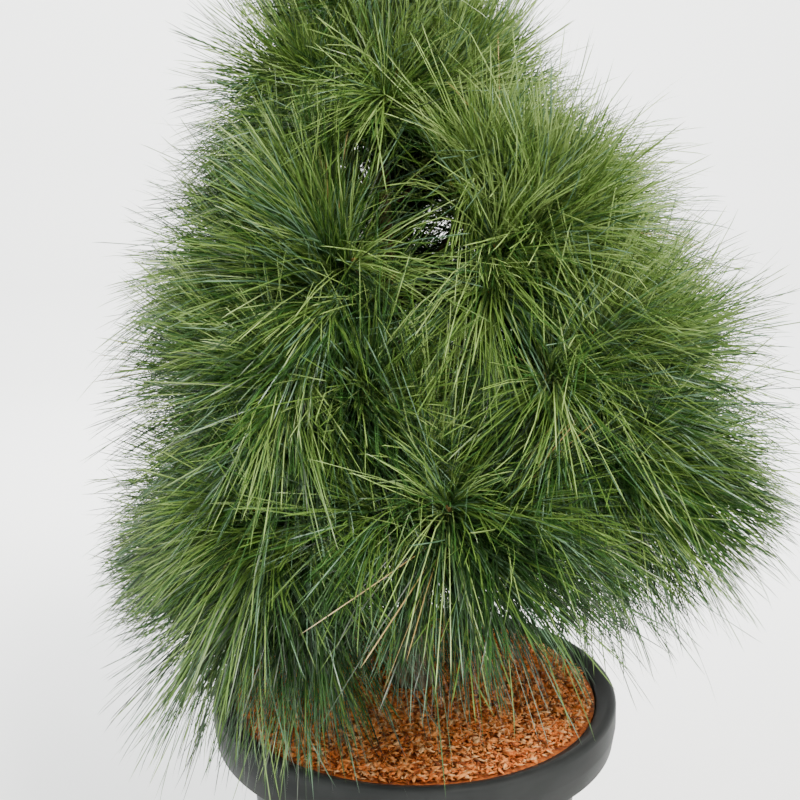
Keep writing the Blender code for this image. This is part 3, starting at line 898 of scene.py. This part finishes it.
def skirt_lift(tips, rng):
    """How far each needle is bent up at its tip, so that the skirt rises towards the +X side."""
    out = tips[:, 0] - SKIRT_FROM
    skirt = SKIRT_LOW + SKIRT_RISE * out + rng.normal(0, SKIRT_SOFT, len(tips))
    return np.where(out > 0, np.maximum(skirt - tips[:, 2], 0), 0)


def clear_of_hollows(points, rng):
    """False for the needles that are missing where they would cross one of the crown's hollows."""
    keep = np.ones(len(points), bool)
    for middle, half, open_share in HOLLOWS:
        crossing = (np.linalg.norm((points - middle) / half, axis=2) < 1).any(axis=1)
        keep &= ~(crossing & (rng.uniform(0, 1, len(points)) < open_share))
    return keep


def needle_template():
    """A flat needle of even width with a short point, along its length from -0.5 to 0.5."""
    bm = bmesh.new()
    bmesh.ops.create_grid(bm, x_segments=1, y_segments=4, size=0.5)
    for vert in bm.verts:
        vert.co.y = (-0.5, -0.18, 0.14, 0.44, 0.5)[round((vert.co.y + 0.5) * 4)]
    tip = [v for v in bm.verts if v.co.y > 0.49]
    bmesh.ops.pointmerge(bm, verts=tip, merge_co=(0, 0.5, 0))
    bm.verts.index_update()
    return template_of(bm)


def needle_lines(roots, headings, length, push, along, rng):
    """The middle line of every needle: it leans off its bundle, curls, droops and keeps to its room."""
    count = len(roots)
    first, second = perpendiculars(headings)
    turn = rng.uniform(0, 2 * math.pi, count)
    lean = np.radians(rng.uniform(*LEAN_IN_BUNDLE, count))
    aside = first * np.cos(turn)[:, None] + second * np.sin(turn)[:, None]
    headings = headings * np.cos(lean)[:, None] + aside * np.sin(lean)[:, None]
    length = length * rng.uniform(*LENGTHS_IN_BUNDLE, count)
    sag = -DROOP * length * rng.uniform(*DROOP_SHIFT, count) * (1 - STEEP_SHARE * np.abs(headings[:, 2]))
    sag *= np.clip(DROOP_MOST - (roots[:, 2] - DROOP_HEIGHT), DROOP_LEAST, DROOP_MOST)
    curl = aside * (length * rng.normal(0, CURL, count))[:, None] + push * length[:, None]
    t = along[None, :, None]
    lines = roots[:, None, :] + headings[:, None, :] * (length[:, None, None] * t)
    lines = lines + curl[:, None, :] * t**2
    lines[:, :, 2] += sag[:, None] * (along**2)[None, :]
    lines[:, :, 2] += skirt_lift(lines[:, -1], rng)[:, None] * (along**2)[None, :]
    lines = kept_in_reach(lines, roots, rng)
    reach = np.hypot(lines[:, :, 0], lines[:, :, 1])
    lines[:, :, 2] = np.maximum(lines[:, :, 2], floor_under(reach))
    return lines


def flat_needles(lines, headings, across, along, rng):
    """Gives every needle its width, rolled any way round its bundle's heading and narrower to its tip."""
    count = len(lines)
    first, second = perpendiculars(headings)
    roll = rng.uniform(0, math.pi, count)
    flat_way = first * np.cos(roll)[:, None] + second * np.sin(roll)[:, None]
    width = NEEDLE_WIDTH * rng.uniform(*NEEDLE_WIDTHS, count)
    taper = (1.0 - NEEDLE_TAPER * along)[None, :, None]
    return lines + flat_way[:, None, :] * (width[:, None, None] * across[None, :, None] * taper)


def needle_points(limbs, shape, rng):
    """Every needle of a mass as points by copy, vertex and axis, with its tone."""
    all_points, all_picks = [], []
    across, along = shape[:, 0], shape[:, 1] + 0.5
    for limb in limbs:
        roots, headings, share = bundles_on(limb, rng)
        picks = greens_of(roots, share, headings, limb.age, rng)
        shrink = OLD_NEEDLES if limb.age else 1
        length = limb.needles * rng.triangular(*BUNDLE_LENGTHS, len(roots)) * shrink
        push = sway_at(roots + headings * (SWAY_FELT_AT * length)[:, None])
        headings = headings + SWAY_TURN * push
        headings /= np.linalg.norm(headings, axis=1, keepdims=True)
        roots, headings, picks, length, push = (
            np.repeat(a, NEEDLES_IN_ONE, axis=0) for a in (roots, headings, picks, length, push)
        )
        lines = needle_lines(roots, headings, length, push, along, rng)
        points = flat_needles(lines, headings, across, along, rng)
        keep = clear_of_hollows(points, rng)
        all_points.append(points[keep])
        all_picks.append(picks[keep])
    return np.concatenate(all_points), np.concatenate(all_picks)


def make_needles(masses):
    """One joined piece of needles for each mass."""
    shape, faces = needle_template()
    for seed, (name, limbs) in enumerate(masses.items()):
        points, picks = needle_points(limbs, shape, np.random.default_rng(100 + seed))
        mesh = joined_copies(name, points, faces, picks)
        finish_piece(name.replace("needles", "spray"), mesh, NEEDLE_GREENS, [name])


# Studio


def make_studio():
    """Pale paper that curves up all round the plant, a soft sky and four area lights."""
    bm = bmesh.new()
    verts = [bm.verts.new((r, 0, z - FLOOR_DROP)) for r, z in FLOOR_BOWL]
    for a, b in zip(verts, verts[1:]):
        bm.edges.new((a, b))
    bmesh.ops.spin(
        bm, geom=bm.verts[:] + bm.edges[:], axis=(0, 0, 1), cent=(0, 0, 0), steps=FLOOR_SIDES,
        angle=2 * math.pi, use_merge=True,
    )
    bmesh.ops.remove_doubles(bm, verts=bm.verts, dist=0.0001)
    mesh = bpy.data.meshes.new("studio_floor")
    bm.to_mesh(mesh)
    bm.free()
    paper = bpy.data.materials.new("studio_paper")
    paper.use_nodes = True
    surface = paper.node_tree.nodes["Principled BSDF"]
    surface.inputs["Base Color"].default_value = linear("fafbfa")
    surface.inputs["Roughness"].default_value = 0.9
    mesh.materials.append(paper)
    mesh.shade_smooth()
    floor = bpy.data.objects.new("studio_floor", mesh)
    bpy.context.scene.collection.objects.link(floor)

    world = bpy.data.worlds.new("studio_sky")
    world.use_nodes = True
    sky = world.node_tree.nodes["Background"]
    sky.inputs["Color"].default_value = linear("f4f6f8")
    sky.inputs["Strength"].default_value = 0.80
    bpy.context.scene.world = world

    # Name, place, target, size in metres, power in watts and colour
    lamps = (
        ("key_light", (1.1, -2.0, 2.9), PLANT_MIDDLE, 0.7, 230, "fff8f0"),
        ("fill_light", (-2.4, -1.4, 1.9), PLANT_MIDDLE, 1.2, 16, "f2f6ff"),
        ("back_light", (0.4, 2.6, 2.6), PLANT_MIDDLE, 2.0, 70, "ffffff"),
        ("paper_light", (0, 1.6, 3.2), (0, 5.2, 0.9), 2.4, 380, "ffffff"),
    )
    for name, place, target, size, power, colour in lamps:
        light = bpy.data.lights.new(name, "AREA")
        light.size = size
        light.energy = power
        light.color = linear(colour)[:3]
        lamp = bpy.data.objects.new(name, light)
        lamp.location = place
        lamp.rotation_euler = (Vector(target) - Vector(place)).to_track_quat("-Z", "Y").to_euler()
        bpy.context.scene.collection.objects.link(lamp)


def make_camera():
    camera = bpy.data.cameras.new("camera")
    camera.sensor_width = 36
    camera.lens = CAMERA_LENS
    camera.shift_y = CAMERA_SHIFT
    view = bpy.data.objects.new("camera", camera)
    view.location = CAMERA_PLACE
    view.rotation_euler = (math.radians(90 - CAMERA_TILT), 0, 0)
    bpy.context.scene.collection.objects.link(view)
    bpy.context.scene.camera = view


def main():
    make_camera()
    make_studio()
    make_pot()
    make_root_ball()
    make_chips()
    make_trunk()
    plans = bough_plan()
    make_boughs(plans)
    masses = mass_plan(plans)
    make_twigs(masses)
    make_buds(masses)
    make_needles(masses)


main()
